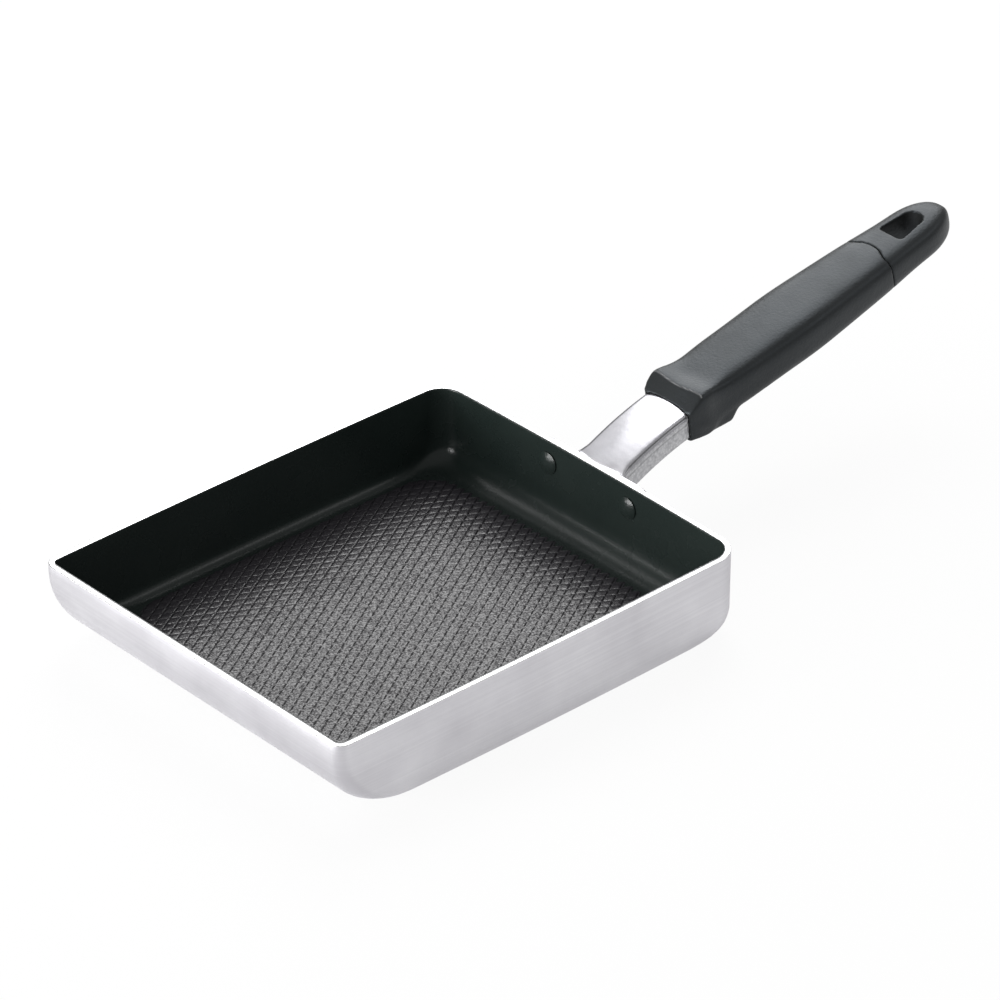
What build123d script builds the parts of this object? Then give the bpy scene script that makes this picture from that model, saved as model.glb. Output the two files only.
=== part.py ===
from build123d import *
from math import asin, cos, degrees, pi, radians, sin, sqrt
import os

# Tamagoyaki pan, in millimetres. Origin: middle of the cooking rectangle, on the resting face.
# +X runs back along the handle, +Y to the left, +Z up.

# Body: cooking opening at the rim, walls and floor
opening_length = 180.0
opening_width = 150.0
body_height = 34.0
wall = 2.2
floor_thickness = 2.7
coating_film = 0.2
side_bow = 0.8  # outward bulge of each long wall at its middle
back_bow = 1.2  # outward bulge of the back wall at its middle

# Body: roundings of the outer shape
front_sweep_radius = 31.0  # the front wall curves right down into the base
back_base_radius = 11.5
side_base_radius = 7.0
front_corner_radius = 4.6
back_corner_radius = 10.4
front_growth_share = 0.8  # how much of the walls' inward shift a corner radius gains
back_growth_share = 2.0
side_rise_shares = (0.0, 0.01, 0.034, 0.134, 0.293, 0.5, 0.741, 1.0)
back_rise_shares = (0.8, 1.0)
front_rise_shares = (0.5, 0.65, 0.82, 1.0)

# Neck: riveted flange, arched arm and the tang inside the grip
flange_width = 56.0
flange_height = 14.0
flange_thickness = 2.8
flange_corner = 6.5
flange_below_rim = 1.7
arm_width = 21.4
arm_rise = 5.0  # top edges above the arm's middle line
arm_drop = 5.5
arm_crown = 1.3
arm_edge_radius = 1.4
arm_bend_radius = 125.0
arm_below_axis = 1.25
groove_width = 1.2
groove_depth = 0.9
groove_below_edge = 0.8
tang_width = 13.0
tang_height = 7.2
tang_length = 21.0
thread_depth = 17.0

# Rivets
rivet_spacing = 41.0
rivet_shank = 4.8
rivet_head = 8.6
rivet_head_rise = 1.7
rivet_head_rim = 0.5
rivet_tail = 7.6
rivet_tail_rise = 1.5
rivet_seat_play = 0.05

# Handle line: starts at the grip's front face and rises to the back
grip_gap = 39.5  # from the back of the cooking opening
grip_rise = 5.6  # above the rim
grip_tilt = 12.5
neck_clearance = 0.25
mouth_depth = 10.0

# Grip and tail, as one outer form that the seam divides
handle_length = 141.4
grip_width = 28.7
grip_thickness = 17.5
outline_points = 24
# distance along the handle, width and thickness, as shares of the three sizes above, and squareness:
# 2 gives an ellipse, larger values square the section up
grip_shares = (
    (-0.015, 0.81, 1.02, 9.0),
    (0.0, 0.85, 1.051, 9.0),
    (0.022, 0.892, 1.086, 9.0),
    (0.05, 0.927, 1.097, 9.0),
    (0.085, 0.899, 1.029, 7.0),
    (0.125, 0.892, 0.971, 5.0),
    (0.18, 0.927, 0.977, 4.4),
    (0.26, 0.962, 0.983, 4.0),
    (0.34, 0.983, 0.989, 3.8),
    (0.43, 1.0, 1.0, 3.7),
    (0.54, 0.965, 0.966, 3.6),
    (0.64, 0.913, 0.926, 3.5),
    (0.725, 0.864, 0.88, 3.4),
    (0.805, 0.801, 0.823, 3.3),
)
tail_length = 20.3
tail_width_share = 0.771
tail_thickness_share = 0.808
tail_squareness = 3.2
tail_turn_shares = (0.0, 0.22, 0.42, 0.6, 0.76, 0.9)  # of the quarter turn that closes the tail
tail_bluntness = 3.0
cap_length = 38.5
seam_bulge = 2.5
seam_bulge_half = 7.5
seam_corner = 5.0

# Collar: a front face that leans back above the mouth, and the finger step below
front_width_share = 1.08
front_zone = 20.0  # how far back the lower sides draw in
front_zone_run_out = 20.0
side_draw = 3.8
front_tuck = 1.2  # how far the front face comes forward towards the collar's underside
lean_start = 4.9
lean_rise = 5.5
lean_back = 6.5
lean_bow = 4.0  # extra lean at the sides
collar_drop = 7.5  # underside below the start of the handle line
collar_length = 20.5
collar_lift = 1.0  # rise of the underside over its length
collar_step_length = 5.0
collar_step_rise = 7.0
collar_width = 24.8
collar_edge = 1.2

# Hanging slot, end cap's plug, screw and washer
slot_length = 15.5
slot_margin = 11.7  # from the slot to the tail's end
slot_front_width = 11.4
slot_tail_width = 8.8
slot_corner = 1.8
screw_diameter = 4.0
screw_head = 7.0
screw_head_height = 3.0
screw_length = 50.0
screw_engagement = 14.0
drive_slot_width = 1.2
drive_slot_depth = 1.4
screw_clearance = 0.5
washer_outer = 7.2
washer_thickness = 1.0
washer_split = 0.8
plug_diameter = 9.0
plug_length = 7.0
plug_play = 0.05

overrun = 5.0

# Places that follow from the sizes
rivet_height = body_height - flange_below_rim - flange_height / 2
grip_front = opening_length / 2 + grip_gap
grip_axis_height = body_height + grip_rise
collar_underside = grip_axis_height - collar_drop
collar_back = grip_front + collar_length + collar_step_length
back_face = opening_length / 2 + wall + back_bow
flange_face = back_face + flange_thickness
wall_bow_at_rivet = back_bow * (1 - (rivet_spacing / opening_width) ** 2)
head_seat_x = opening_length / 2 - coating_film + wall_bow_at_rivet - rivet_seat_play
head_dome_height = rivet_head_rise - rivet_head_rim
head_dome_radius = ((rivet_head / 2) ** 2 + head_dome_height**2) / (2 * head_dome_height)
tail_dome_radius = ((rivet_tail / 2) ** 2 + rivet_tail_rise**2) / (2 * rivet_tail_rise)
tilt = radians(grip_tilt)
along = Vector(cos(tilt), 0, sin(tilt))
handle_line = Plane(
    origin=(grip_front, 0, grip_axis_height), x_dir=along, z_dir=(-sin(tilt), 0, cos(tilt))
)
tang_end = mouth_depth + tang_length
head_seat = tang_end - screw_engagement + screw_length - washer_thickness
seam_at = handle_length - cap_length
slot_end = handle_length - slot_margin
slot_start = slot_end - slot_length

os.makedirs("parts", exist_ok=True)


def across(distance, height=0):
    """The plane square to the handle line at a distance from the grip's front."""
    place = handle_line.from_local_coords((distance, 0, height))
    return Plane(origin=place, x_dir=(0, 1, 0), z_dir=along)


def inward(rise, radius):
    """How far a rounded wall has moved in at a rise above its base."""
    if rise >= radius:
        return 0
    return radius - sqrt(radius**2 - (radius - rise) ** 2)


def body_outline(height, inset, base):
    """The body's outline at one height, drawn in from the outer shape by an inset."""
    rise = height - base
    side_in = inward(rise, side_base_radius - inset)
    back_in = inward(rise, back_base_radius - inset)
    front_in = inward(rise, front_sweep_radius - inset)
    left = opening_width / 2 + wall - inset - side_in
    back = opening_length / 2 + wall - inset - back_in
    front = opening_length / 2 + wall - inset - front_in
    middle = (back - front) / 2
    front_corner = front_corner_radius - inset + front_growth_share * (front_in + side_in) / 2
    back_corner = back_corner_radius - inset + back_growth_share * (back_in + side_in) / 2
    with BuildSketch(Plane.XY.offset(height)) as outline:
        with BuildLine():
            Line((-front, -left), (-front, left))
            ThreePointArc((-front, left), (middle, left + side_bow), (back, left))
            ThreePointArc((back, left), (back + back_bow, 0), (back, -left))
            ThreePointArc((back, -left), (middle, -left - side_bow), (-front, -left))
        make_face()
        fillet(outline.vertices().group_by(Axis.X)[0], radius=front_corner)
        fillet(outline.vertices().group_by(Axis.X)[-1], radius=back_corner)
    return outline.sketch


def body_outlines(inset, base):
    """Outlines from the base up to the rim, close together where the walls turn."""
    rises = [share * (side_base_radius - inset) for share in side_rise_shares]
    rises += [share * (back_base_radius - inset) for share in back_rise_shares]
    rises += [share * (front_sweep_radius - inset) for share in front_rise_shares]
    heights = [base + rise for rise in rises] + [body_height]
    return [body_outline(height, inset, base) for height in heights]


# Body blanks: the outer form, the space inside the wall and the space inside the coating
with BuildPart() as body_form:
    loft(sections=body_outlines(0, 0))

with BuildPart() as cavity:
    loft(sections=body_outlines(wall, floor_thickness))

with BuildPart() as cooking_space:
    loft(sections=body_outlines(wall + coating_film, floor_thickness + coating_film))

# The two rivet holes run from inside the pan through coating, wall and flange
with BuildPart() as rivet_holes:
    with BuildSketch(Plane.YZ.offset(opening_length / 2 - overrun)):
        with Locations((0, rivet_height)):
            with GridLocations(rivet_spacing, 0, 2, 1):
                Circle(rivet_shank / 2)
    extrude(amount=flange_face - opening_length / 2 + 2 * overrun)

with BuildPart() as pan_body:
    add(body_form.part)
    add(cavity.part, mode=Mode.SUBTRACT)
    add(rivet_holes.part, mode=Mode.SUBTRACT)
pan_body.part.label = "pan_body"
export_step(pan_body.part, "parts/pan_body.step")

with BuildPart() as nonstick_coating:
    add(cavity.part)
    add(cooking_space.part, mode=Mode.SUBTRACT)
    add(rivet_holes.part, mode=Mode.SUBTRACT)
nonstick_coating.part.label = "nonstick_coating"
export_step(nonstick_coating.part, "parts/nonstick_coating.step")


def arm_section(gap, distance=0):
    """The arm's section, square to the handle line, grown by a gap for the grip's mouth."""
    half = arm_width / 2 + gap
    top = arm_rise + gap
    bottom = -arm_drop - gap
    with BuildSketch(across(distance, -arm_below_axis)) as section:
        with BuildLine():
            ThreePointArc((half, top), (0, top + arm_crown), (-half, top))
            Polyline((-half, top), (-half, bottom), (half, bottom), (half, top))
        make_face()
        fillet(section.vertices(), radius=arm_edge_radius)
    return section.sketch


# Neck: an arched arm swept back from the grip's mouth into a riveted flange
arm_start = handle_line.from_local_coords((0, 0, -arm_below_axis))
arm_reach = arm_start.X - opening_length / 2 - wall
arm_turn = degrees(asin(sin(tilt) + arm_reach / arm_bend_radius)) - grip_tilt

with BuildPart() as arm:
    with BuildLine(Plane.XZ) as bend:
        JernArc((arm_start.X, arm_start.Z), (-along.X, -along.Z), arm_bend_radius, arm_turn)
    sweep(sections=arm_section(0), path=bend.wire())

with BuildPart() as grooves:
    with BuildSketch(across(0, -arm_below_axis)) as groove_section:
        with Locations((0, arm_rise - groove_below_edge - groove_width / 2)):
            with GridLocations(arm_width, 0, 2, 1):
                Rectangle(2 * groove_depth, groove_width)
    sweep(sections=groove_section.sketch, path=bend.wire())

with BuildPart() as neck:
    with BuildSketch(Plane.YZ.offset(opening_length / 2)):
        with Locations((0, rivet_height)):
            RectangleRounded(flange_width, flange_height, flange_corner)
    extrude(amount=flange_face - opening_length / 2)
    add(arm.part)
    add(grooves.part, mode=Mode.SUBTRACT)
    extrude(arm_section(0), amount=mouth_depth)
    with BuildSketch(across(mouth_depth)):
        Rectangle(tang_width, tang_height)
    extrude(amount=tang_length)
    add(body_form.part, mode=Mode.SUBTRACT)
    add(rivet_holes.part, mode=Mode.SUBTRACT)
    with Locations(across(tang_end)):
        Hole(screw_diameter / 2, depth=thread_depth)
neck.part.label = "neck"
export_step(neck.part, "parts/neck.step")


def make_rivet(side):
    """One rivet: a low head inside the pan, a shank and an upset tail behind the flange."""
    centre = side * rivet_spacing / 2
    head_top = head_seat_x - rivet_head_rise
    rim = head_seat_x - rivet_head_rim
    tail_top = flange_face + rivet_tail_rise
    with BuildPart() as rivet:
        with BuildSketch(Plane(origin=(0, centre, rivet_height))):
            with BuildLine():
                RadiusArc((head_top, 0), (rim, rivet_head / 2), head_dome_radius)
                Polyline(
                    (rim, rivet_head / 2),
                    (head_seat_x, rivet_head / 2),
                    (head_seat_x, rivet_shank / 2),
                    (flange_face, rivet_shank / 2),
                    (flange_face, rivet_tail / 2),
                )
                RadiusArc((flange_face, rivet_tail / 2), (tail_top, 0), tail_dome_radius)
                Line((tail_top, 0), (head_top, 0))
            make_face()
        revolve(axis=Axis((0, centre, rivet_height), (1, 0, 0)))
    return rivet


rivet_left = make_rivet(1)
rivet_left.part.label = "rivet_left"
export_step(rivet_left.part, "parts/rivet_left.step")

rivet_right = make_rivet(-1)
rivet_right.part.label = "rivet_right"
export_step(rivet_right.part, "parts/rivet_right.step")


def handle_section(distance, width, thickness, squareness):
    """A squared oval across the handle line."""
    points = []
    for index in range(outline_points):
        angle = 2 * pi * index / outline_points
        across_part = abs(cos(angle)) ** (2 / squareness)
        up_part = abs(sin(angle)) ** (2 / squareness)
        across_way = 1 if cos(angle) >= 0 else -1
        up_way = 1 if sin(angle) >= 0 else -1
        points.append((across_way * across_part * width / 2, up_way * up_part * thickness / 2))
    with BuildSketch(across(distance)) as section:
        with BuildLine():
            Spline(*points, periodic=True)
        make_face()
    return section.sketch


# Outer form of grip and tail together
handle_sections = [
    handle_section(place * handle_length, width * grip_width, thickness * grip_thickness, squareness)
    for place, width, thickness, squareness in grip_shares
]
for share in tail_turn_shares:
    closing = sin(share * pi / 2)
    handle_sections.append(
        handle_section(
            handle_length - tail_length * (1 - closing),
            tail_width_share * grip_width * sqrt(1 - closing**2),
            tail_thickness_share * grip_thickness * (1 - closing**tail_bluntness) ** (1 / tail_bluntness),
            tail_squareness,
        )
    )

with BuildPart() as handle_form:
    loft(sections=handle_sections)

# The tail lies behind a seam that bulges back over the top of the handle
with BuildPart() as tail_zone:
    with BuildSketch(handle_line) as zone:
        with BuildLine():
            Line((seam_at, -grip_width), (seam_at, -seam_bulge_half))
            ThreePointArc(
                (seam_at, -seam_bulge_half), (seam_at + seam_bulge, 0), (seam_at, seam_bulge_half)
            )
            Line((seam_at, seam_bulge_half), (seam_at, grip_width))
            Line((seam_at, grip_width), (handle_length + overrun, grip_width))
            Line((handle_length + overrun, grip_width), (handle_length + overrun, -grip_width))
            Line((handle_length + overrun, -grip_width), (seam_at, -grip_width))
        make_face()
        bulge_ends = zone.vertices().filter_by_position(Axis.Y, -seam_bulge_half, seam_bulge_half)
        fillet(bulge_ends, radius=seam_corner)
    extrude(amount=grip_thickness, both=True)

# Everything behind the grip's front face, which leans back above the mouth, more so at the sides.
# Below, the sides draw in towards the collar's underside.
front_half = front_width_share * grip_width / 2
lower_reach = collar_drop + grip_thickness / 2
lower_tuck = front_tuck * (lean_start + lower_reach) / (lean_start + collar_drop)


def front_plan(height, start, half):
    """The outline behind the front face at one height, with a narrower front part."""
    zone_end = front_zone + front_zone_run_out
    with BuildSketch(handle_line.offset(height)) as plan:
        Polygon(
            (start, -half),
            (front_zone, -half),
            (zone_end, -front_half),
            (handle_length, -front_half),
            (handle_length, front_half),
            (zone_end, front_half),
            (front_zone, half),
            (start, half),
            align=None,
        )
    return plan.sketch


with BuildPart() as behind_front:
    below = front_plan(-lower_reach, -lower_tuck, front_half - side_draw)
    loft(sections=[below, front_plan(lean_start, 0, front_half)], ruled=True)
    with BuildSketch(handle_line.offset(lean_start)) as lean_foot:
        with Locations((handle_length / 2, 0)):
            Rectangle(handle_length, 2 * front_half)
    with BuildSketch(handle_line.offset(lean_start + lean_rise)) as lean_head:
        with BuildLine():
            ThreePointArc(
                (lean_back + lean_bow, -front_half), (lean_back, 0), (lean_back + lean_bow, front_half)
            )
            Polyline(
                (lean_back + lean_bow, front_half),
                (handle_length, front_half),
                (handle_length, -front_half),
                (lean_back + lean_bow, -front_half),
            )
        make_face()
    loft(sections=[lean_foot.sketch, lean_head.sketch], ruled=True)

with BuildPart() as collar_block:
    with BuildSketch(Plane.XZ):
        with BuildLine():
            Polyline(
                (grip_front, collar_underside),
                (grip_front + collar_length, collar_underside + collar_lift),
                (collar_back, collar_underside + collar_lift + collar_step_rise),
                (collar_back, grip_axis_height + collar_step_rise),
                (grip_front, grip_axis_height),
                close=True,
            )
        make_face()
    extrude(amount=collar_width / 2, both=True)
    lower_edges = collar_block.edges().filter_by(Plane.XZ).group_by(Axis.Z)[0]
    fillet(lower_edges, radius=collar_edge)

with BuildPart() as grip:
    add(handle_form.part)
    add(collar_block.part)
    add(tail_zone.part, mode=Mode.SUBTRACT)
    add(behind_front.part, mode=Mode.INTERSECT)
    with BuildSketch(Plane.XY.offset(collar_underside)):
        with Locations((grip_front, 0)):
            Rectangle(collar_length, 2 * grip_width)
    extrude(amount=-grip_thickness, mode=Mode.SUBTRACT)
    extrude(
        arm_section(neck_clearance, -overrun), amount=overrun + mouth_depth, mode=Mode.SUBTRACT
    )
    with BuildSketch(across(mouth_depth)):
        Rectangle(tang_width + 2 * neck_clearance, tang_height + 2 * neck_clearance)
    extrude(amount=tang_length + neck_clearance, mode=Mode.SUBTRACT)
    with BuildSketch(across(mouth_depth)):
        Circle((screw_diameter + screw_clearance) / 2)
    extrude(amount=seam_at + seam_bulge, mode=Mode.SUBTRACT)
    with BuildSketch(across(head_seat)):
        Circle(plug_diameter / 2 + plug_play)
    extrude(amount=seam_at + seam_bulge - head_seat, mode=Mode.SUBTRACT)
grip.part.label = "grip"
export_step(grip.part, "parts/grip.step")

with BuildPart() as end_cap:
    add(handle_form.part)
    add(tail_zone.part, mode=Mode.INTERSECT)
    with BuildSketch(handle_line) as slot:
        with BuildLine():
            mouth_half = slot_front_width / 2
            tail_half = slot_tail_width / 2
            Line((slot_start, -mouth_half), (slot_start, mouth_half))
            Line((slot_start, mouth_half), (slot_end - tail_half, tail_half))
            ThreePointArc(
                (slot_end - tail_half, tail_half), (slot_end, 0), (slot_end - tail_half, -tail_half)
            )
            Line((slot_end - tail_half, -tail_half), (slot_start, -mouth_half))
        make_face()
        fillet(slot.vertices().group_by(Axis.X)[0], radius=slot_corner)
    extrude(amount=grip_thickness, both=True, mode=Mode.SUBTRACT)
    with BuildSketch(across(seam_at - plug_length)):
        Circle(plug_diameter / 2)
    extrude(amount=plug_length + 2 * seam_bulge)
end_cap.part.label = "end_cap"
export_step(end_cap.part, "parts/end_cap.step")

with BuildPart() as lock_washer:
    with BuildSketch(across(head_seat)):
        Circle(washer_outer / 2)
        Circle(screw_diameter / 2, mode=Mode.SUBTRACT)
        with Locations((0, washer_outer / 2)):
            Rectangle(washer_split, washer_outer, mode=Mode.SUBTRACT)
    extrude(amount=washer_thickness)
lock_washer.part.label = "lock_washer"
export_step(lock_washer.part, "parts/lock_washer.step")

with BuildPart() as handle_screw:
    with BuildSketch(across(tang_end - screw_engagement)):
        Circle(screw_diameter / 2)
    extrude(amount=head_seat + washer_thickness - tang_end + screw_engagement)
    with BuildSketch(across(head_seat + washer_thickness)):
        Circle(screw_head / 2)
    extrude(amount=screw_head_height)
    with BuildSketch(across(head_seat + washer_thickness + screw_head_height)):
        Rectangle(drive_slot_width, screw_head)
        Rectangle(screw_head, drive_slot_width)
    extrude(amount=-drive_slot_depth, mode=Mode.SUBTRACT)
handle_screw.part.label = "handle_screw"
export_step(handle_screw.part, "parts/handle_screw.step")
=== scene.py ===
import bmesh
import bpy
import math
import numpy as np
from mathutils import Matrix, Vector


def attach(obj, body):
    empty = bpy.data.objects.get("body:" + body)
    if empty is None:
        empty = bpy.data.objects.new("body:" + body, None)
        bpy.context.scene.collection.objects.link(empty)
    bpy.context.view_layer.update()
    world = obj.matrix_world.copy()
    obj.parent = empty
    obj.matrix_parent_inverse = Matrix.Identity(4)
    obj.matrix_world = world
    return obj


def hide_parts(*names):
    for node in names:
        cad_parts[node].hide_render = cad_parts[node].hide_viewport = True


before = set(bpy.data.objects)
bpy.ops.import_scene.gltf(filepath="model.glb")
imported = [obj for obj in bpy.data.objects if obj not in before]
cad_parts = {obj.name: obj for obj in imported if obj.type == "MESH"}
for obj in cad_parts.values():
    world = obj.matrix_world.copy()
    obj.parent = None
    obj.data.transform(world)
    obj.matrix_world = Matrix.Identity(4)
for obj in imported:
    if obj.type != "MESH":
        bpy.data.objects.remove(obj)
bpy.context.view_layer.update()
mm = 0.001
print("frame loaded:", len(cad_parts), "nodes")

cameraSpot = {
    "target": (0.0, 0.0, 0.034),
    "azimuth": -42.44,
    "elevation": 31.67,
    "roll": 0.36,
    "distance": 2.1128,
    "side": 0.0364,
    "lift": 0.01904,
    "lens": 221.69,
    "clipEnd": 20.0,
}


def placeCamera(spot):
    turn, rise, roll = (math.radians(spot[key]) for key in ("azimuth", "elevation", "roll"))
    flat = math.cos(rise)
    back = Vector((math.sin(turn) * flat, -math.cos(turn) * flat, math.sin(rise)))
    right = (-back).cross(Vector((0, 0, 1))).normalized()
    up = right.cross(-back)
    right, up = (
        math.cos(roll) * right + math.sin(roll) * up,
        math.cos(roll) * up - math.sin(roll) * right,
    )
    place = Vector(spot["target"]) + spot["side"] * right + spot["lift"] * up + spot["distance"] * back
    camera = bpy.data.objects.new("camera", bpy.data.cameras.new("camera"))
    bpy.context.collection.objects.link(camera)
    camera.data.lens = spot["lens"]
    camera.data.clip_end = spot["clipEnd"]
    columns = (right, up, back, place)
    camera.matrix_world = Matrix([[column[row] for column in columns] for row in range(3)] + [[0, 0, 0, 1]])
    bpy.context.scene.camera = camera


placeCamera(cameraSpot)
bpy.context.scene.view_settings.view_transform = "Standard"
print("camera placed")


def addNode(tree, kind, **values):
    node = tree.nodes.new(kind)
    for key, value in values.items():
        setattr(node, key, value)
    return node


def join(tree, start, end):
    tree.links.new(start, end)


def newGroup(name, inputs, outputs):
    group = bpy.data.node_groups.new(name, "ShaderNodeTree")
    for label, kind, value in inputs:
        made = group.interface.new_socket(label, in_out="INPUT", socket_type=kind)
        made.default_value = value
    for label, kind in outputs:
        group.interface.new_socket(label, in_out="OUTPUT", socket_type=kind)
    return group, addNode(group, "NodeGroupInput"), addNode(group, "NodeGroupOutput")


def useGroup(tree, group, **values):
    node = addNode(tree, "ShaderNodeGroup", node_tree=group)
    for key, value in values.items():
        node.inputs[key].default_value = value
    return node


def newMaterial(name, color, metallic, roughness):
    material = bpy.data.materials.new(name)
    material.use_nodes = True
    tree = material.node_tree
    shader = tree.nodes["Principled BSDF"]
    shader.inputs["Base Color"].default_value = (*color, 1)
    shader.inputs["Metallic"].default_value = metallic
    shader.inputs["Roughness"].default_value = roughness
    shader.inputs["IOR"].default_value = plainIor
    return material, tree, shader


plainIor = 1.5
streakNoise = {"scale": 1.0, "detail": 3.0, "low": 0.33, "high": 0.67}
grainNoise = {"detail": 2.0, "smoothness": 0.6}
blotchNoise = {"detail": 4.0, "low": 0.3, "high": 0.7}


# brushed streaks: long along the wall, close together up the wall
def makeStreaks():
    group, start, end = newGroup(
        "streaks",
        [("Along", "NodeSocketFloat", 8.0), ("Up", "NodeSocketFloat", 900.0)],
        [("Streak", "NodeSocketFloat")],
    )
    place = addNode(group, "ShaderNodeTexCoord")
    size = addNode(group, "ShaderNodeCombineXYZ")
    scaled = addNode(group, "ShaderNodeVectorMath", operation="MULTIPLY")
    noise = addNode(group, "ShaderNodeTexNoise")
    noise.inputs["Scale"].default_value = streakNoise["scale"]
    noise.inputs["Detail"].default_value = streakNoise["detail"]
    join(group, start.outputs["Along"], size.inputs["X"])
    join(group, start.outputs["Along"], size.inputs["Y"])
    join(group, start.outputs["Up"], size.inputs["Z"])
    join(group, place.outputs["Object"], scaled.inputs[0])
    join(group, size.outputs["Vector"], scaled.inputs[1])
    spread = addNode(group, "ShaderNodeMapRange")
    spread.inputs["From Min"].default_value = streakNoise["low"]
    spread.inputs["From Max"].default_value = streakNoise["high"]
    join(group, scaled.outputs["Vector"], noise.inputs["Vector"])
    join(group, noise.outputs["Fac"], spread.inputs["Value"])
    join(group, spread.outputs["Result"], end.inputs["Streak"])
    return group


# fine grain: moulded, cast or coated skin
def makeGrain():
    group, start, end = newGroup(
        "grain",
        [("Size", "NodeSocketFloat", 2500.0), ("Lumps", "NodeSocketFloat", 700.0)],
        [("Grain", "NodeSocketFloat"), ("Lump", "NodeSocketFloat")],
    )
    place = addNode(group, "ShaderNodeTexCoord")
    fine = addNode(group, "ShaderNodeTexNoise")
    fine.inputs["Detail"].default_value = grainNoise["detail"]
    cells = addNode(group, "ShaderNodeTexVoronoi", feature="SMOOTH_F1")
    cells.inputs["Smoothness"].default_value = grainNoise["smoothness"]
    both = addNode(group, "ShaderNodeMath", operation="ADD")
    join(group, place.outputs["Object"], fine.inputs["Vector"])
    join(group, place.outputs["Object"], cells.inputs["Vector"])
    join(group, start.outputs["Size"], fine.inputs["Scale"])
    join(group, start.outputs["Lumps"], cells.inputs["Scale"])
    join(group, fine.outputs["Fac"], both.inputs[0])
    join(group, cells.outputs["Distance"], both.inputs[1])
    join(group, both.outputs["Value"], end.inputs["Grain"])
    join(group, cells.outputs["Distance"], end.inputs["Lump"])
    return group


# blotches: slow change over a surface, between two limits
def makeBlotches():
    group, start, end = newGroup(
        "blotches",
        [("Scale", "NodeSocketFloat", 20.0), ("Low", "NodeSocketFloat", 0.0), ("High", "NodeSocketFloat", 1.0)],
        [("Value", "NodeSocketFloat")],
    )
    place = addNode(group, "ShaderNodeTexCoord")
    noise = addNode(group, "ShaderNodeTexNoise")
    noise.inputs["Detail"].default_value = blotchNoise["detail"]
    spread = addNode(group, "ShaderNodeMapRange")
    spread.inputs["From Min"].default_value = blotchNoise["low"]
    spread.inputs["From Max"].default_value = blotchNoise["high"]
    join(group, place.outputs["Object"], noise.inputs["Vector"])
    join(group, start.outputs["Scale"], noise.inputs["Scale"])
    join(group, noise.outputs["Fac"], spread.inputs["Value"])
    join(group, start.outputs["Low"], spread.inputs["To Min"])
    join(group, start.outputs["High"], spread.inputs["To Max"])
    join(group, spread.outputs["Result"], end.inputs["Value"])
    return group


streaks = makeStreaks()
grain = makeGrain()
blotches = makeBlotches()


def addBump(tree, shader, height, strength, distance, below=None):
    bump = addNode(tree, "ShaderNodeBump")
    bump.inputs["Strength"].default_value = strength
    bump.inputs["Distance"].default_value = distance
    join(tree, height, bump.inputs["Height"])
    if below:
        join(tree, below.outputs["Normal"], bump.inputs["Normal"])
    join(tree, bump.outputs["Normal"], shader.inputs["Normal"])
    return bump


def tintBetween(tree, shader, mask, low, high):
    ramp = addNode(tree, "ShaderNodeMix", data_type="RGBA")
    ramp.inputs["A"].default_value = (*low, 1)
    ramp.inputs["B"].default_value = (*high, 1)
    join(tree, mask, ramp.inputs["Factor"])
    join(tree, ramp.outputs["Result"], shader.inputs["Base Color"])
    return ramp


print("shader groups ready")

satinWall = {
    "dark": (0.585, 0.575, 0.605),
    "light": (0.735, 0.728, 0.755),
    "plainRough": 0.36,
    "roughLow": 0.38,
    "roughHigh": 0.5,
    "roughScale": 22.0,
    "streakAlong": 9.0,
    "streakUp": 1500.0,
    "streakShare": 0.3,
    "streakBump": (0.1, 0.00012),
    "blotchScale": 38.0,
    "blotchShare": 0.7,
    "dentScale": 160.0,
    "dentBump": (0.05, 0.0006),
    "cornerShade": 0.5,
    "cornerStart": 0.03,
    "cornerFull": 0.5,
}


# painted shade on the upright corners, where the wall turns from one side to the next
def addCornerShadeMask(tree):
    facing = addNode(tree, "ShaderNodeNewGeometry")
    split = addNode(tree, "ShaderNodeSeparateXYZ")
    product = addNode(tree, "ShaderNodeMath", operation="MULTIPLY")
    size = addNode(tree, "ShaderNodeMath", operation="ABSOLUTE")
    mask = addNode(tree, "ShaderNodeMapRange", interpolation_type="SMOOTHSTEP")
    mask.inputs["From Min"].default_value = satinWall["cornerStart"]
    mask.inputs["From Max"].default_value = satinWall["cornerFull"]
    join(tree, facing.outputs["Normal"], split.inputs["Vector"])
    join(tree, split.outputs["X"], product.inputs[0])
    join(tree, split.outputs["Y"], product.inputs[1])
    join(tree, product.outputs["Value"], size.inputs[0])
    join(tree, size.outputs["Value"], mask.inputs["Value"])
    return mask.outputs["Result"]


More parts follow.
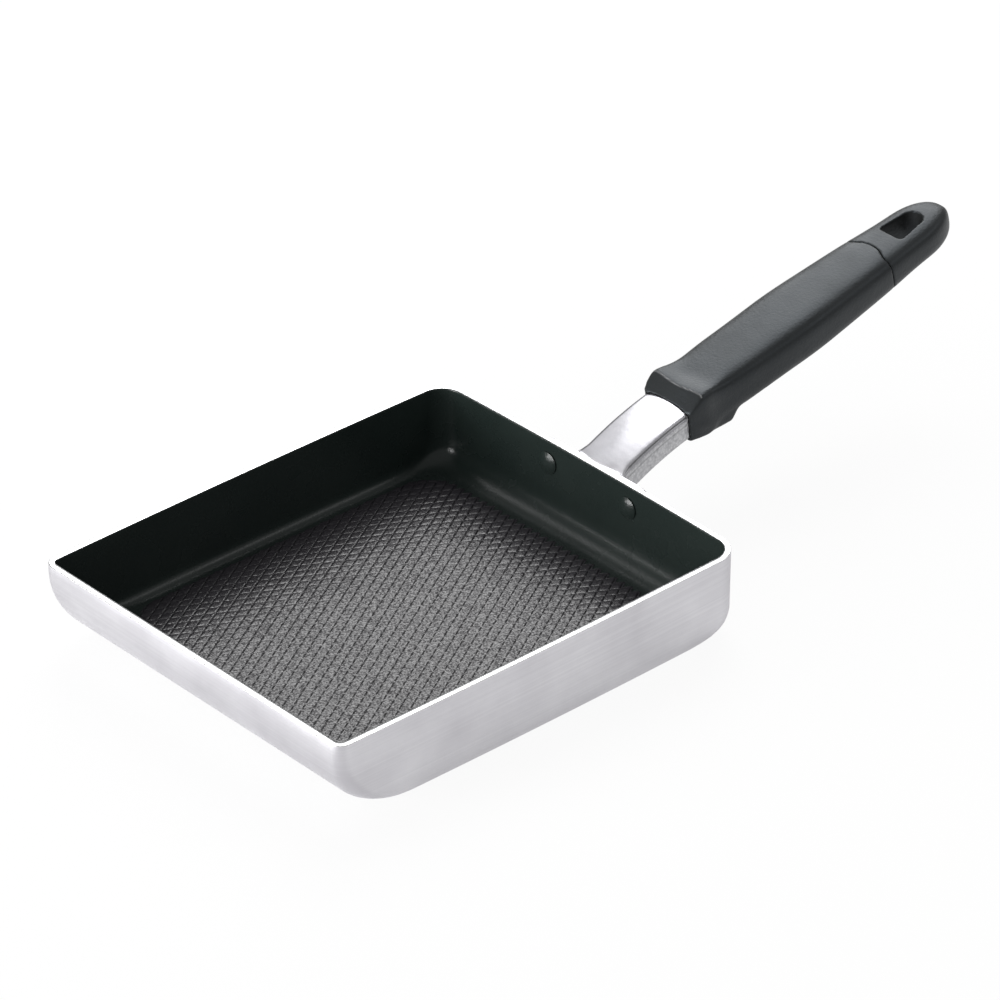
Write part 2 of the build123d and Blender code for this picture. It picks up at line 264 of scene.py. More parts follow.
def makeSatinWall():
    material, tree, shader = newMaterial("satinAluminium", satinWall["light"], 1.0, satinWall["plainRough"])
    long = useGroup(tree, streaks, Along=satinWall["streakAlong"], Up=satinWall["streakUp"])
    slow = useGroup(tree, blotches, Scale=satinWall["blotchScale"])
    rough = useGroup(
        tree, blotches, Scale=satinWall["roughScale"], Low=satinWall["roughLow"], High=satinWall["roughHigh"]
    )
    mixed = addNode(tree, "ShaderNodeMath", operation="MULTIPLY_ADD")
    mixed.inputs[1].default_value = satinWall["streakShare"]
    slowShare = addNode(tree, "ShaderNodeMath", operation="MULTIPLY")
    slowShare.inputs[1].default_value = satinWall["blotchShare"]
    join(tree, slow.outputs["Value"], slowShare.inputs[0])
    join(tree, long.outputs["Streak"], mixed.inputs[0])
    join(tree, slowShare.outputs["Value"], mixed.inputs[2])
    # painted shade: the corner mask pulls the wall's colour toward the dark tint
    turned = addCornerShadeMask(tree)
    withPaintedLight = addNode(tree, "ShaderNodeMath", operation="MULTIPLY_ADD")
    withPaintedLight.inputs[1].default_value = -satinWall["cornerShade"]
    join(tree, turned, withPaintedLight.inputs[0])
    join(tree, mixed.outputs["Value"], withPaintedLight.inputs[2])
    tintBetween(tree, shader, withPaintedLight.outputs["Value"], satinWall["dark"], satinWall["light"])
    join(tree, rough.outputs["Value"], shader.inputs["Roughness"])
    fine = addBump(tree, shader, long.outputs["Streak"], *satinWall["streakBump"])
    dents = useGroup(tree, blotches, Scale=satinWall["dentScale"])
    addBump(tree, shader, dents.outputs["Value"], *satinWall["dentBump"], fine)
    return material


rimLook = {
    "color": (0.82, 0.82, 0.83),
    "rough": 0.24,
    "streakAlong": 300.0,
    "streakUp": 40.0,
    "streakBump": (0.06, 0.00005),
}


def makeRimBright():
    material, tree, shader = newMaterial("machinedRim", rimLook["color"], 1.0, rimLook["rough"])
    long = useGroup(tree, streaks, Along=rimLook["streakAlong"], Up=rimLook["streakUp"])
    addBump(tree, shader, long.outputs["Streak"], *rimLook["streakBump"])
    return material


coatingLook = {
    "dark": (0.0125, 0.0185, 0.0168),
    "light": (0.0175, 0.0245, 0.0222),
    "blotchScale": 30.0,
    "rough": 0.27,
    "roughLow": 0.24,
    "roughHigh": 0.31,
    "roughScale": 60.0,
    "shineLevel": 0.3,
    "grainSize": 3200.0,
    "lumpSize": 1400.0,
    "grainDepth": 0.0002,
    "wallGrain": 0.12,
    "rivetGrain": 0.2,
}


def makeCoating(name, grainStrength):
    material, tree, shader = newMaterial(name, coatingLook["light"], 0.0, coatingLook["rough"])
    shader.inputs["Specular IOR Level"].default_value = coatingLook["shineLevel"]
    skin = useGroup(tree, grain, Size=coatingLook["grainSize"], Lumps=coatingLook["lumpSize"])
    slow = useGroup(tree, blotches, Scale=coatingLook["blotchScale"])
    tintBetween(tree, shader, slow.outputs["Value"], coatingLook["dark"], coatingLook["light"])
    rough = useGroup(
        tree, blotches, Scale=coatingLook["roughScale"], Low=coatingLook["roughLow"], High=coatingLook["roughHigh"]
    )
    join(tree, rough.outputs["Value"], shader.inputs["Roughness"])
    addBump(tree, shader, skin.outputs["Grain"], grainStrength, coatingLook["grainDepth"])
    return material


baseLook = {
    "cutShade": (0.004, 0.004, 0.0045),
    "skin": (0.0205, 0.0185, 0.0225),
    "rough": 0.5,
    "shineLevel": 0.08,
    "filmRough": 0.27,
    "filmIor": 1.505,
    "speckScale": 1500.0,
    "speckDetail": 2.0,
    "speckFrom": (0.36, 0.64),
    "speckTo": (0.08, 1.0),
    "cutShine": 0.08,
    "grainSize": 2600.0,
    "lumpSize": 1300.0,
    "grainBump": (0.32, 0.0002),
}


# the pressed floor: its film is speckled; in the cuts that the mesh marks as groove it has painted shade, darker and
# duller, and beside the cuts and on the steps painted highlights, where negative marks add film
def makeBaseCoating():
    material, tree, shader = newMaterial("coatingBase", baseLook["skin"], 0.0, baseLook["rough"])
    shader.inputs["Specular IOR Level"].default_value = baseLook["shineLevel"]
    shader.inputs["Coat Roughness"].default_value = baseLook["filmRough"]
    shader.inputs["Coat IOR"].default_value = baseLook["filmIor"]
    skin = useGroup(tree, grain, Size=baseLook["grainSize"], Lumps=baseLook["lumpSize"])
    paintedLightMark = addNode(tree, "ShaderNodeAttribute", attribute_name="groove")
    place = addNode(tree, "ShaderNodeTexCoord")
    speck = addNode(tree, "ShaderNodeTexNoise")
    speck.inputs["Scale"].default_value = baseLook["speckScale"]
    speck.inputs["Detail"].default_value = baseLook["speckDetail"]
    shine = addNode(tree, "ShaderNodeMapRange")
    shine.inputs["From Min"].default_value, shine.inputs["From Max"].default_value = baseLook["speckFrom"]
    shine.inputs["To Min"].default_value, shine.inputs["To Max"].default_value = baseLook["speckTo"]
    clear = addNode(tree, "ShaderNodeMapRange", clamp=False)
    clear.inputs["To Min"].default_value = 1.0
    clear.inputs["To Max"].default_value = baseLook["cutShine"]
    level = addNode(tree, "ShaderNodeMath", operation="MULTIPLY")
    join(tree, place.outputs["Object"], speck.inputs["Vector"])
    join(tree, speck.outputs["Fac"], shine.inputs["Value"])
    join(tree, paintedLightMark.outputs["Fac"], clear.inputs["Value"])
    join(tree, shine.outputs["Result"], level.inputs[0])
    join(tree, clear.outputs["Result"], level.inputs[1])
    join(tree, level.outputs["Value"], shader.inputs["Coat Weight"])
    # painted shade: the groove mark darkens the colour in the cuts
    tintBetween(tree, shader, paintedLightMark.outputs["Fac"], baseLook["skin"], baseLook["cutShade"])
    addBump(tree, shader, skin.outputs["Grain"], *baseLook["grainBump"])
    return material


phenolicLook = {
    "dark": (0.0095, 0.01, 0.0096),
    "light": (0.0148, 0.0155, 0.0148),
    "blotchScale": 45.0,
    "shine": (0.8, 0.9, 1.0),
    "shineLevel": 0.36,
    "paintedLipHighlight": (0.24, 0.24, 0.245),
    "rough": 0.42,
    "roughLow": 0.36,
    "roughHigh": 0.46,
    "roughScale": 70.0,
    "grainSize": 1900.0,
    "lumpSize": 900.0,
    "grainBump": (0.22, 0.0002),
}


# moulded black, with a painted highlight on the edge that the grip's mesh marks as lip
def makePhenolic():
    material, tree, shader = newMaterial("phenolic", phenolicLook["light"], 0.0, phenolicLook["rough"])
    shader.inputs["Specular Tint"].default_value = (*phenolicLook["shine"], 1)
    shader.inputs["Specular IOR Level"].default_value = phenolicLook["shineLevel"]
    skin = useGroup(tree, grain, Size=phenolicLook["grainSize"], Lumps=phenolicLook["lumpSize"])
    slow = useGroup(tree, blotches, Scale=phenolicLook["blotchScale"])
    rough = useGroup(
        tree, blotches, Scale=phenolicLook["roughScale"], Low=phenolicLook["roughLow"], High=phenolicLook["roughHigh"]
    )
    tint = tintBetween(tree, shader, slow.outputs["Value"], phenolicLook["dark"], phenolicLook["light"])
    # painted highlight: the lip mark lightens the base colour along the edge
    paintedLightMark = addNode(tree, "ShaderNodeAttribute", attribute_name="lip")
    withPaintedLight = addNode(tree, "ShaderNodeMix", data_type="RGBA")
    withPaintedLight.inputs["B"].default_value = (*phenolicLook["paintedLipHighlight"], 1)
    join(tree, paintedLightMark.outputs["Fac"], withPaintedLight.inputs["Factor"])
    join(tree, tint.outputs["Result"], withPaintedLight.inputs["A"])
    join(tree, withPaintedLight.outputs["Result"], shader.inputs["Base Color"])
    join(tree, rough.outputs["Value"], shader.inputs["Roughness"])
    addBump(tree, shader, skin.outputs["Grain"], *phenolicLook["grainBump"])
    return material


neckLook = {
    "polishDark": (0.6, 0.595, 0.63),
    "polishLight": (0.72, 0.715, 0.75),
    "castDark": (0.36, 0.36, 0.375),
    "castLight": (0.66, 0.66, 0.675),
    "paintedLineShade": (0.06, 0.06, 0.065),
    "topFrom": (0.42, 0.6),
    "blotchScale": 120.0,
    "plainRough": 0.3,
    "polishRough": 0.36,
    "castRough": 0.46,
    "roughLow": -0.05,
    "roughHigh": 0.07,
    "roughScale": 80.0,
    "grainSize": 1800.0,
    "lumpSize": 900.0,
    "grainBump": (0.55, 0.0003),
    "polishGrain": 0.06,
}


# polished where the surface faces up, as cast on the sides, with painted shade in the lines that the mesh marks
def makeNeckMetal():
    material, tree, shader = newMaterial("neckAluminium", neckLook["polishLight"], 1.0, neckLook["plainRough"])
    facing = addNode(tree, "ShaderNodeNewGeometry")
    split = addNode(tree, "ShaderNodeSeparateXYZ")
    top = addNode(tree, "ShaderNodeMapRange", interpolation_type="SMOOTHSTEP")
    top.inputs["From Min"].default_value, top.inputs["From Max"].default_value = neckLook["topFrom"]
    skin = useGroup(tree, grain, Size=neckLook["grainSize"], Lumps=neckLook["lumpSize"])
    slow = useGroup(tree, blotches, Scale=neckLook["blotchScale"])
    rough = useGroup(
        tree, blotches, Scale=neckLook["roughScale"], Low=neckLook["roughLow"], High=neckLook["roughHigh"]
    )
    join(tree, facing.outputs["Normal"], split.inputs["Vector"])
    join(tree, split.outputs["Z"], top.inputs["Value"])
    colors = []
    for mask, low, high in (
        (slow.outputs["Value"], neckLook["polishDark"], neckLook["polishLight"]),
        (skin.outputs["Lump"], neckLook["castLight"], neckLook["castDark"]),
    ):
        blend = addNode(tree, "ShaderNodeMix", data_type="RGBA")
        blend.inputs["A"].default_value = (*low, 1)
        blend.inputs["B"].default_value = (*high, 1)
        join(tree, mask, blend.inputs["Factor"])
        colors.append(blend)
    both = addNode(tree, "ShaderNodeMix", data_type="RGBA")
    join(tree, top.outputs["Result"], both.inputs["Factor"])
    join(tree, colors[1].outputs["Result"], both.inputs["A"])
    join(tree, colors[0].outputs["Result"], both.inputs["B"])
    # painted shade: the line mark darkens the colour in the groove, the faint line and along the far edge
    paintedLightMark = addNode(tree, "ShaderNodeAttribute", attribute_name="line")
    shadedLines = addNode(tree, "ShaderNodeMix", data_type="RGBA")
    shadedLines.inputs["B"].default_value = (*neckLook["paintedLineShade"], 1)
    join(tree, paintedLightMark.outputs["Fac"], shadedLines.inputs["Factor"])
    join(tree, both.outputs["Result"], shadedLines.inputs["A"])
    join(tree, shadedLines.outputs["Result"], shader.inputs["Base Color"])
    level = addNode(tree, "ShaderNodeMapRange")
    level.inputs["To Min"].default_value = neckLook["castRough"]
    level.inputs["To Max"].default_value = neckLook["polishRough"]
    total = addNode(tree, "ShaderNodeMath", operation="ADD")
    join(tree, top.outputs["Result"], level.inputs["Value"])
    join(tree, level.outputs["Result"], total.inputs[0])
    join(tree, rough.outputs["Value"], total.inputs[1])
    join(tree, total.outputs["Value"], shader.inputs["Roughness"])
    depth = addNode(tree, "ShaderNodeMapRange")
    depth.inputs["To Min"].default_value = 1.0
    depth.inputs["To Max"].default_value = neckLook["polishGrain"]
    height = addNode(tree, "ShaderNodeMath", operation="MULTIPLY")
    join(tree, top.outputs["Result"], depth.inputs["Value"])
    join(tree, depth.outputs["Result"], height.inputs[0])
    join(tree, skin.outputs["Grain"], height.inputs[1])
    addBump(tree, shader, height.outputs["Value"], *neckLook["grainBump"])
    return material


steelLook = {
    "plain": (0.55, 0.55, 0.56),
    "dark": (0.45, 0.45, 0.46),
    "light": (0.62, 0.62, 0.62),
    "rough": 0.3,
    "blotchScale": 300.0,
}


def makeSteel():
    material, tree, shader = newMaterial("zincSteel", steelLook["plain"], 1.0, steelLook["rough"])
    slow = useGroup(tree, blotches, Scale=steelLook["blotchScale"])
    tintBetween(tree, shader, slow.outputs["Value"], steelLook["dark"], steelLook["light"])
    return material


wallMetal = makeSatinWall()
rimMetal = makeRimBright()
wallCoating = makeCoating("coatingSmooth", coatingLook["wallGrain"])
baseCoating = makeBaseCoating()
rivetCoating = makeCoating("coatingRivet", coatingLook["rivetGrain"])
phenolic = makePhenolic()
neckMetal = makeNeckMetal()
steel = makeSteel()
print("materials ready")


def addPiece(name, verts, faces, materials, sharpAngle):
    mesh = bpy.data.meshes.new(name)
    mesh.from_pydata(verts, [], faces)
    mesh.update()
    for material in materials:
        mesh.materials.append(material)
    piece = bpy.data.objects.new(name, mesh)
    bpy.context.collection.objects.link(piece)
    mesh.shade_smooth()
    mesh.set_sharp_from_angle(angle=math.radians(sharpAngle))
    return piece


# a value for each vertex, which a material reads by its name
def markPoints(piece, name, values):
    paintedLightMark = piece.data.attributes.new(name, "FLOAT", "POINT")
    paintedLightMark.data.foreach_set("value", np.asarray(values, dtype=np.float32))


def bridgeRings(rings, closeStart, closeEnd):
    count = len(rings[0])
    verts = [point for ring in rings for point in ring]
    faces = []
    for step in range(len(rings) - 1):
        low, high = step * count, (step + 1) * count
        for index in range(count):
            after = (index + 1) % count
            faces.append((low + index, low + after, high + after, high + index))
    if closeStart:
        faces.append(tuple(reversed(range(count))))
    if closeEnd:
        last = (len(rings) - 1) * count
        faces.append(tuple(range(last, last + count)))
    return verts, faces


panBody = {
    "length": 180.0,
    "width": 150.0,
    "height": 34.0,
    "wall": 2.2,
    "floor": 2.7,
    "film": 0.2,
    "sideBow": 0.8,
    "backBow": 1.2,
    "backBowPower": 8,
    "frontSweep": 31.0,
    "backBase": 11.5,
    "sideBase": 7.0,
    "frontCorner": 4.6,
    "backCorner": 10.4,
    "frontGrowth": 0.8,
    "backGrowth": 2.0,
    "lastRing": 31.5,
    "rimRound": 0.35,
    "rimAngles": (0.5, 1.1),
    "rimBreak": 0.12,
    "cornerSteps": 9,
    "sideSteps": 26,
    "endSteps": 20,
    "sharpAngle": 50,
}
# heights of the rings, as shares of the front's sweep
riseShares = (
    0, 0.003, 0.01, 0.022, 0.04, 0.065, 0.1, 0.135, 0.175,
    0.22, 0.28, 0.35, 0.43, 0.52, 0.62, 0.73, 0.85, 0.95,
)


# how far a rounded bottom edge stands in from the wall at this height
def inward(rise, radius):
    return 0 if rise >= radius else radius - math.sqrt(radius**2 - (radius - rise) ** 2)


# one level ring around the pan, this far in from its outside
def panRing(height, inset, base):
    rise = height - base
    sideIn = inward(rise, panBody["sideBase"] - inset)
    backIn = inward(rise, panBody["backBase"] - inset)
    frontIn = inward(rise, panBody["frontSweep"] - inset)
    half = panBody["width"] / 2 + panBody["wall"] - inset - sideIn
    back = panBody["length"] / 2 + panBody["wall"] - inset - backIn
    front = panBody["length"] / 2 + panBody["wall"] - inset - frontIn
    frontRound = panBody["frontCorner"] - inset + panBody["frontGrowth"] * (frontIn + sideIn) / 2
    backRound = panBody["backCorner"] - inset + panBody["backGrowth"] * (backIn + sideIn) / 2
    points = []

    def corner(x, y, radius, start):
        for step in range(panBody["cornerSteps"] + 1):
            angle = math.radians(start + 90 * step / panBody["cornerSteps"])
            points.append((x + radius * math.cos(angle), y + radius * math.sin(angle)))

    def run(start, end, steps):
        for step in range(1, steps):
            share = step / steps
            points.append((start[0] + (end[0] - start[0]) * share, start[1] + (end[1] - start[1]) * share))

    corner(back - backRound, -half + backRound, backRound, -90)
    run((back, -half + backRound), (back, half - backRound), panBody["endSteps"])
    corner(back - backRound, half - backRound, backRound, 0)
    run((back - backRound, half), (-front + frontRound, half), panBody["sideSteps"])
    corner(-front + frontRound, half - frontRound, frontRound, 90)
    run((-front, half - frontRound), (-front, -half + frontRound), panBody["endSteps"])
    corner(-front + frontRound, -half + frontRound, frontRound, 180)
    run((-front + frontRound, -half), (back - backRound, -half), panBody["sideSteps"])

    middle, reach = (back - front) / 2, (back + front) / 2
    ring = []
    for x, y in points:
        along = (x - middle) / reach
        outY = panBody["sideBow"] * (1 - along**2) * y / half
        outX = panBody["backBow"] * (1 - (y / half) ** 2) * max(along, 0) ** panBody["backBowPower"]
        ring.append(((x + outX) * mm, (y + outY) * mm, height * mm))
    return ring


def makePanBody():
    top = panBody["height"]
    wall = panBody["wall"]
    edge = panBody["rimRound"]
    small = panBody["rimBreak"]
    floor = panBody["floor"]
    rings = [panRing(share * panBody["frontSweep"], 0, 0) for share in riseShares]
    rings += [panRing(height, 0, 0) for height in (panBody["lastRing"], top - edge)]
    rimStart = len(rings) - 1
    for angle in panBody["rimAngles"]:
        rings.append(panRing(top - edge * (1 - math.sin(angle)), edge * (1 - math.cos(angle)), 0))
    rings.append(panRing(top, edge, 0))
    rings.append(panRing(top, wall - small, 0))
    rings.append(panRing(top - small, wall, floor))
    rimEnd = len(rings) - 1
    sweep = panBody["frontSweep"] - wall
    rings += [panRing(floor + share * sweep, wall, floor) for share in reversed(riseShares)]
    verts, faces = bridgeRings(rings, True, True)
    piece = addPiece("panShell", verts, faces, [wallMetal, rimMetal], panBody["sharpAngle"])
    count = len(rings[0])
    for polygon in piece.data.polygons:
        ring = polygon.vertices[0] // count
        if rimStart <= ring < rimEnd and len(polygon.vertices) == 4:
            polygon.material_index = 1
    return piece


panShell = makePanBody()
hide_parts("pan_body")
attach(panShell, "root")
print("pan shell made")

coatingShell = {
    "topDrop": 0.02,
    "topInset": 0.06,
    "edgeInset": 0.1,
    "edgeDrop": 0.12,
    "upperShares": (1.05, 1.0),
    "sharpAngle": 60,
}


def makeCoatingSkin():
    top = panBody["height"]
    wall = panBody["wall"]
    inset = wall + panBody["film"]
    base = panBody["floor"] + panBody["film"]
    sweep = panBody["frontSweep"] - inset
    rings = [
        panRing(top - coatingShell["topDrop"], wall - coatingShell["topInset"], base),
        panRing(top - coatingShell["topDrop"], inset - coatingShell["edgeInset"], base),
        panRing(top - coatingShell["edgeDrop"], inset, base),
    ]
    rings += [panRing(base + share * sweep, inset, base) for share in coatingShell["upperShares"]]
    rings += [panRing(base + share * sweep, inset, base) for share in reversed(riseShares)]
    verts, faces = bridgeRings(rings, False, True)
    return addPiece("coatingSkin", verts, faces, [wallCoating], coatingShell["sharpAngle"])


# each profile, reach and painted shading has one number for each of the shares of a cell
basePattern = {
    "cellX": 3.5,
    "cellY": 2.0,
    "cells": 29,
    "shares": (0.0, 0.045, 0.09, 0.21, 0.79, 0.91, 0.955),
    "cutProfile": (1.0, 0.62, 0.0, 0.0, 0.0, 0.0, 0.62),
    "cutReach": (0.0, 0.05, 0.2, 1.0, 1.0, 0.2, 0.05),
    "cutShading": (1.0, 0.75, -0.5, -0.12, -0.12, -0.5, 0.75),
    "stepProfile": (1.0, 0.8, 0.58, 0.0, 0.0, 0.0, 0.12),
    "stepReach": (0.15, 0.3, 0.6, 1.0, 1.0, 0.6, 0.3),
    "stepShading": (0.45, -0.3, -0.8, 0.0, 0.0, 0.0, 0.5),
    "highlightLimit": -0.8,
    "height": 0.2,
    "lift": 0.05,
    "lowest": 0.04,
    "sink": 0.03,
    "cutDepth": 0.2,
    "stepDepth": 0.145,
    "front": -63.0,
    "back": 81.5,
    "side": 71.0,
    "corner": 13.0,
    "fade": 1.3,
    "margin": 0.4,
    "sharpAngle": 80,
}


# a lattice of short deep cuts one way and shallow steps the other way, each fading where they cross
def makeBasePattern():
    cells = range(-basePattern["cells"], basePattern["cells"] + 2)
    lines = np.array([cell + share for cell in cells for share in basePattern["shares"]])
    u, v = np.meshgrid(lines, lines, indexing="ij")
    keys = ("cutProfile", "cutReach", "cutShading", "stepProfile", "stepReach", "stepShading")
    shares = {key: np.tile(basePattern[key], len(cells)) for key in keys}
    cuts = np.outer(shares["cutReach"], shares["cutProfile"])
    steps = np.outer(shares["stepProfile"], shares["stepReach"])
    # painted light: positive values give painted shade in the cuts and on the steps, negative values beside them give
    # painted highlights through extra film
    paintedShading = np.outer(shares["cutReach"], shares["cutShading"])
    paintedShading = paintedShading + np.outer(shares["stepShading"], shares["stepReach"])
    x = basePattern["cellX"] * (u + v)
    y = basePattern["cellY"] * (u - v)
    middle = (basePattern["front"] + basePattern["back"]) / 2
    frontReach = (basePattern["back"] - basePattern["front"]) / 2 - basePattern["corner"]
    sideReach = basePattern["side"] - basePattern["corner"]
    outX, outY = np.abs(x - middle) - frontReach, np.abs(y) - sideReach
    outside = np.hypot(np.maximum(outX, 0), np.maximum(outY, 0)) + np.minimum(np.maximum(outX, outY), 0)
    outside -= basePattern["corner"]
    shown = np.clip(-outside / basePattern["fade"], 0, 1)
    shown = shown * shown * (3 - 2 * shown)
    raised = basePattern["lift"] + basePattern["height"]
    raised = raised - basePattern["cutDepth"] * cuts - basePattern["stepDepth"] * steps
    floor = panBody["floor"] + panBody["film"] - basePattern["sink"]
    level = floor + np.maximum(raised, basePattern["lowest"]) * shown
    keep = outside < basePattern["margin"]
    keepFace = keep[:-1, :-1] & keep[1:, :-1] & keep[:-1, 1:] & keep[1:, 1:]
    number = np.arange(x.size).reshape(x.shape)
    quads = np.stack([number[:-1, :-1], number[:-1, 1:], number[1:, 1:], number[1:, :-1]], -1)[keepFace]
    used, renumbered = np.unique(quads, return_inverse=True)
    points = np.stack([x.ravel()[used], y.ravel()[used], level.ravel()[used]], -1) * mm
    faces = renumbered.reshape(quads.shape).tolist()
    piece = addPiece("basePattern", points.tolist(), faces, [baseCoating], basePattern["sharpAngle"])
    markPoints(piece, "groove", (np.clip(paintedShading, basePattern["highlightLimit"], 1) * shown).ravel()[used])
    return piece


coatingSkin = makeCoatingSkin()
patternSheet = makeBasePattern()
for piece in (coatingSkin, patternSheet):
    if piece.data.polygons[-1].normal.z < 0:
        piece.data.flip_normals()
    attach(piece, "root")
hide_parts("nonstick_coating")
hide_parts("nonstick_coating")
print("coating made:", len(patternSheet.data.polygons), "faces in the base pattern")

handleLine = {"x": 129.5, "z": 39.6, "tilt": 12.5}
softPieces = {
    "neck": {"name": "neckCasting", "voxel": 0.38, "rounds": 3},
    "grip": {"name": "gripMoulding", "voxel": 0.5, "rounds": 7},
    "end_cap": {"name": "endCapMoulding", "voxel": 0.42, "rounds": 5},
}
softFactor = 0.5
weldGap = 1e-6


# along the handle, across it, and up from its line
def handlePlace(point):
    tilt = math.radians(handleLine["tilt"])
    x, z = point.x / mm - handleLine["x"], point.z / mm - handleLine["z"]
    return x * math.cos(tilt) + z * math.sin(tilt), point.y / mm, z * math.cos(tilt) - x * math.sin(tilt)


def bakeModifiers(piece):
    bpy.context.view_layer.update()
    solved = piece.evaluated_get(bpy.context.evaluated_depsgraph_get())
    shaped = bpy.data.meshes.new_from_object(solved)
    piece.modifiers.clear()
    piece.data = shaped
    return shaped


# a copy of the CAD solid with its edges softened as moulding and casting soften them
def softCopy(node, settings, materials):
    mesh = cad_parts[node].data.copy()
    mesh.materials.clear()
    piece = bpy.data.objects.new(settings["name"], mesh)
    bpy.context.collection.objects.link(piece)
    work = bmesh.new()
    work.from_mesh(mesh)
    bmesh.ops.remove_doubles(work, verts=work.verts, dist=weldGap)
    work.to_mesh(mesh)
    work.free()
    remesh = piece.modifiers.new("remesh", "REMESH")
    remesh.mode = "VOXEL"
    remesh.voxel_size = settings["voxel"] * mm
    smooth = piece.modifiers.new("smooth", "SMOOTH")
    smooth.factor = softFactor
    smooth.iterations = settings["rounds"]
    shaped = bakeModifiers(piece)
    shaped.materials.clear()
    for material in materials:
        shaped.materials.append(material)
    shaped.shade_smooth()
    return piece


# the arm follows an arc in the middle plane
neckArc = {"x": 156.82, "z": -83.65, "radius": 125.0, "reach": 96.5, "half": 10.7}
# the two lines of painted shade on each side have a place above the arc, a spread and a depth
neckLines = {
    "groove": (4.1, 0.75, 1.0),
    "faint": (1.3, 0.28, 0.45),
    "start": 0.8,
    "end": 3.0,
    "sideDepth": 1.9,
    "farEdge": 0.85,
    "farRise": 3.4,
    "farFade": 0.8,
}
rootFlare = {"length": 5.5, "spread": 2.2, "lowest": 1.5, "margin": 1.0}


# marks painted shade for the groove, the faint line below it and the far edge, and widens the arm's root
def finishNeck(piece):
    lines = []
    inner = neckArc["half"] - neckLines["sideDepth"]
    for vertex in piece.data.vertices:
        x, y, z = vertex.co / mm
        rise = math.hypot(x - neckArc["x"], z - neckArc["z"]) - neckArc["radius"]
        behind = x - neckArc["reach"]
        onArm = behind > neckLines["start"] and x < handleLine["x"] + neckLines["end"]
        line = 0.0
        if onArm and abs(y) > inner:
            for place, spread, depth in (neckLines["groove"], neckLines["faint"]):
                line = max(line, depth * math.exp(-(((rise - place) / spread) ** 2)))
            if rise > neckLines["farRise"]:
                share = min(1, max(0, (y - inner) / neckLines["farFade"]))
                line = max(line, neckLines["farEdge"] * share)
        lines.append(line)
        nearRoot = 0 <= behind < rootFlare["length"] and rise > rootFlare["lowest"]
        if nearRoot and abs(y) < neckArc["half"] + rootFlare["margin"]:
            fall = (1 - behind / rootFlare["length"]) ** 2
            out = rootFlare["spread"] * fall * (abs(y) / neckArc["half"]) ** 4
            vertex.co.y += math.copysign(out, y) * mm
    markPoints(piece, "line", lines)


neckCasting = softCopy("neck", softPieces["neck"], [neckMetal])
finishNeck(neckCasting)

gripRidges = {
    "frontLength": 9.0,
    "frontSide": 9.5,
    "frontTop": 7.0,
    "collarTop": -1.0,
    "collarDepth": 3.0,
    "collarSide": 8.0,
    "collarStart": 3.0,
    "collarEnd": 36.0,
    "fade": 2.0,
    "rounds": 16,
}
lipDish = {"place": 13.0, "spread": 5.0, "depth": 0.45, "lowest": 2.0, "fade": 4.0, "half": 12.0}
lipLine = {"angle": 15.5, "spread": 6.0, "strength": 0.9, "start": 2.0, "end": 13.0, "lowest": 6.0, "half": 12.5}


# weights for the upright ridges of the grip's front and the collar's ends, which the mould leaves rounder
def ridgeWeight(place):
    along, across, up = place
    fade = gripRidges["fade"]
    front = max(0, 1 - along / gripRidges["frontLength"])
    front *= min(1, max(0, (abs(across) - gripRidges["frontSide"]) / fade))
    front *= min(1, max(0, (gripRidges["frontTop"] - up) / fade))
    collar = min(1, max(0, (gripRidges["collarTop"] - up) / gripRidges["collarDepth"]))
    collar *= min(1, max(0, (abs(across) - gripRidges["collarSide"]) / fade))
    collar *= gripRidges["collarStart"] < along < gripRidges["collarEnd"]
    return max(front, collar)


# the painted highlight above the front face lies where its skin turns from the face to the top
def lipHighlightShare(vertex):
    along, across, up = handlePlace(vertex.co)
    if not (lipLine["start"] < along < lipLine["end"] and up > lipLine["lowest"] and abs(across) < lipLine["half"]):
        return 0.0
    turned = math.degrees(math.atan2(-vertex.normal.x, vertex.normal.z)) - handleLine["tilt"]
    return lipLine["strength"] * math.exp(-(((turned - lipLine["angle"]) / lipLine["spread"]) ** 2))


def finishGrip(piece):
    ridge = piece.vertex_groups.new(name="ridge")
    for vertex in piece.data.vertices:
        weight = ridgeWeight(handlePlace(vertex.co))
        if weight > 0:
            ridge.add([vertex.index], weight, "REPLACE")
    soften = piece.modifiers.new("soften", "SMOOTH")
    soften.vertex_group = "ridge"
    soften.iterations = gripRidges["rounds"]
    shaped = bakeModifiers(piece)
    for vertex in shaped.vertices:
        along, across, up = handlePlace(vertex.co)
        if up > lipDish["lowest"]:
            fall = lipDish["depth"] * math.exp(-(((along - lipDish["place"]) / lipDish["spread"]) ** 2))
            fall *= min(1, (up - lipDish["lowest"]) / lipDish["fade"])
            vertex.co.z -= fall * mm * max(0, 1 - (across / lipDish["half"]) ** 2)
    shaped.shade_smooth()
    markPoints(piece, "lip", [lipHighlightShare(vertex) for vertex in shaped.vertices])


gripMoulding = softCopy("grip", softPieces["grip"], [phenolic])
finishGrip(gripMoulding)

endCapMoulding = softCopy("end_cap", softPieces["end_cap"], [phenolic])

for piece, node, slot in (
    (neckCasting, "neck", "neck_metal"),
    (gripMoulding, "grip", "phenolic"),
    (endCapMoulding, "end_cap", "phenolic"),
):
    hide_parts(node)
    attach(piece, "root")
print("handle made")

# rivets, screw and washer stay as in the CAD
for node, material in (
    ("rivet_left", rivetCoating),
    ("rivet_right", rivetCoating),
    ("handle_screw", steel),
    ("lock_washer", steel),
):
    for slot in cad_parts[node].material_slots:
        slot.material = material
print("fasteners finished")

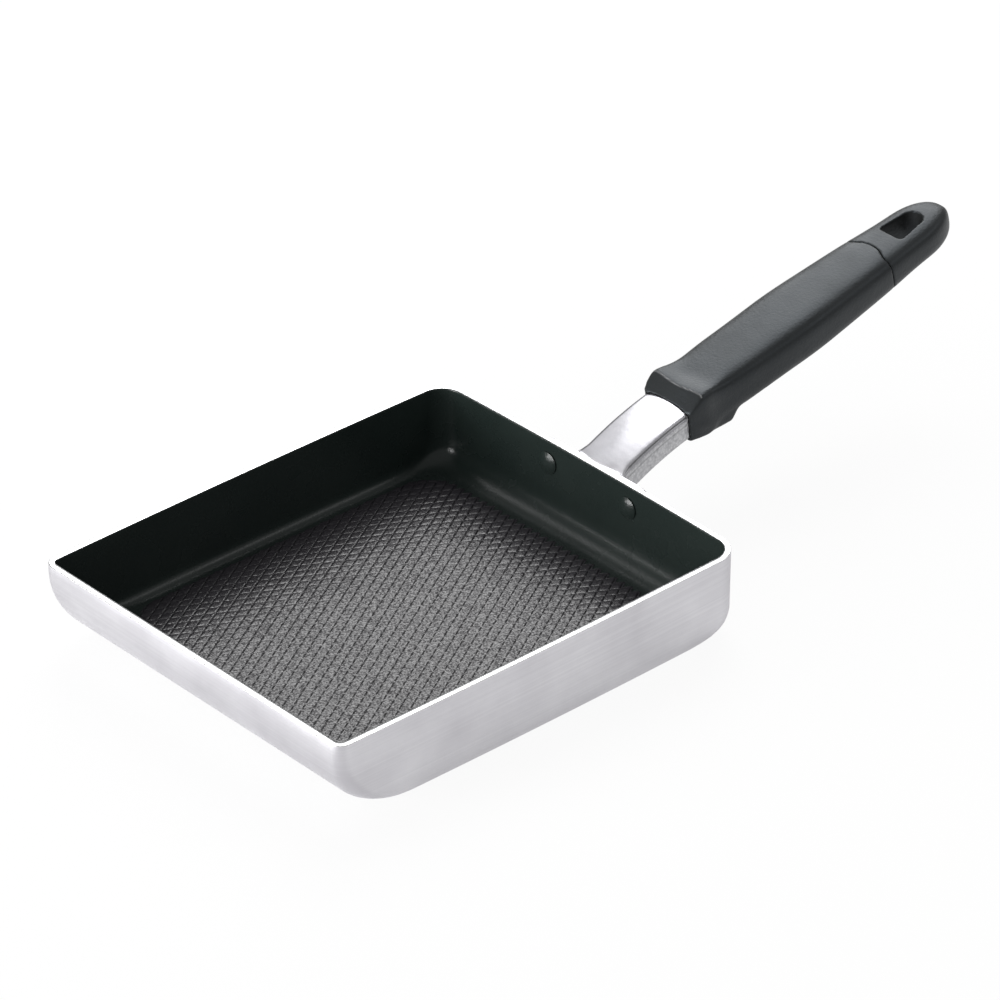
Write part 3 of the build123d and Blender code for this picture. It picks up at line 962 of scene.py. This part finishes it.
studio = {
    "floorReach": 6.0,
    "floorColor": 0.88,
    "cameraGlow": 0.92,
    "glossyGlow": 0.5,
    "world": 0.42,
    "sharpAngle": 40,
}
lamps = {
    "backSoftbox": {"place": (0.88, 0.82, 1.2), "aim": (0.0, 0.0, 0.03), "size": (1.0, 1.65), "power": 21.5},
    "topSoftbox": {"place": (-0.5, 1.0, 1.18), "aim": (0.03, 0.0, 0.03), "size": (0.9, 0.16), "power": 1.7},
    "leftSoftbox": {"place": (-1.5, 0.32, 0.25), "aim": (-0.08, 0.0, 0.02), "size": (1.2, 0.46), "power": 32.0},
    "rightStrip": {"place": (0.99, -0.95, 1.0), "aim": (0.0, 0.0, 0.03), "size": (1.4, 0.2), "power": 2.2},
}


# pale and matt for the lamps, and nearly white where the camera or a reflection sees it
def makeFloor():
    reach = studio["floorReach"]
    verts = [(-reach, -reach, 0), (reach, -reach, 0), (reach, reach, 0), (-reach, reach, 0)]
    material = bpy.data.materials.new("paleFloor")
    material.use_nodes = True
    tree = material.node_tree
    tree.nodes.clear()
    out = addNode(tree, "ShaderNodeOutputMaterial")
    plain = addNode(tree, "ShaderNodeBsdfDiffuse")
    plain.inputs["Color"].default_value = (studio["floorColor"],) * 3 + (1,)
    glow = addNode(tree, "ShaderNodeEmission")
    glow.inputs["Color"].default_value = (1, 1, 1, 1)
    path = addNode(tree, "ShaderNodeLightPath")
    shares = []
    for ray, glowShare in (
        ("Is Camera Ray", studio["cameraGlow"]),
        ("Is Transmission Ray", studio["cameraGlow"]),
        ("Is Glossy Ray", studio["glossyGlow"]),
    ):
        share = addNode(tree, "ShaderNodeMath", operation="MULTIPLY")
        share.inputs[1].default_value = glowShare
        join(tree, path.outputs[ray], share.inputs[0])
        shares.append(share)
    through = addNode(tree, "ShaderNodeMath", operation="MAXIMUM")
    seen = addNode(tree, "ShaderNodeMath", operation="MAXIMUM")
    join(tree, shares[0].outputs["Value"], through.inputs[0])
    join(tree, shares[1].outputs["Value"], through.inputs[1])
    join(tree, through.outputs["Value"], seen.inputs[0])
    join(tree, shares[2].outputs["Value"], seen.inputs[1])
    both = addNode(tree, "ShaderNodeMixShader")
    join(tree, seen.outputs["Value"], both.inputs["Fac"])
    join(tree, plain.outputs["BSDF"], both.inputs[1])
    join(tree, glow.outputs["Emission"], both.inputs[2])
    join(tree, both.outputs["Shader"], out.inputs["Surface"])
    floor = addPiece("floor", verts, [(0, 1, 2, 3)], [material], studio["sharpAngle"])


def makeWorld():
    world = bpy.data.worlds.new("studio")
    world.use_nodes = True
    background = world.node_tree.nodes["Background"]
    background.inputs["Color"].default_value = (1, 1, 1, 1)
    background.inputs["Strength"].default_value = studio["world"]
    bpy.context.scene.world = world


def addLamp(name, settings):
    light = bpy.data.lights.new(name, "AREA")
    light.shape = "RECTANGLE"
    light.size, light.size_y = settings["size"]
    light.energy = settings["power"]
    lamp = bpy.data.objects.new(name, light)
    bpy.context.collection.objects.link(lamp)
    lamp.location = settings["place"]
    aim = Vector(settings["aim"]) - Vector(settings["place"])
    lamp.rotation_euler = aim.to_track_quat("-Z", "Y").to_euler()


makeFloor()
makeWorld()
for name, settings in lamps.items():
    addLamp(name, settings)
print("studio ready")
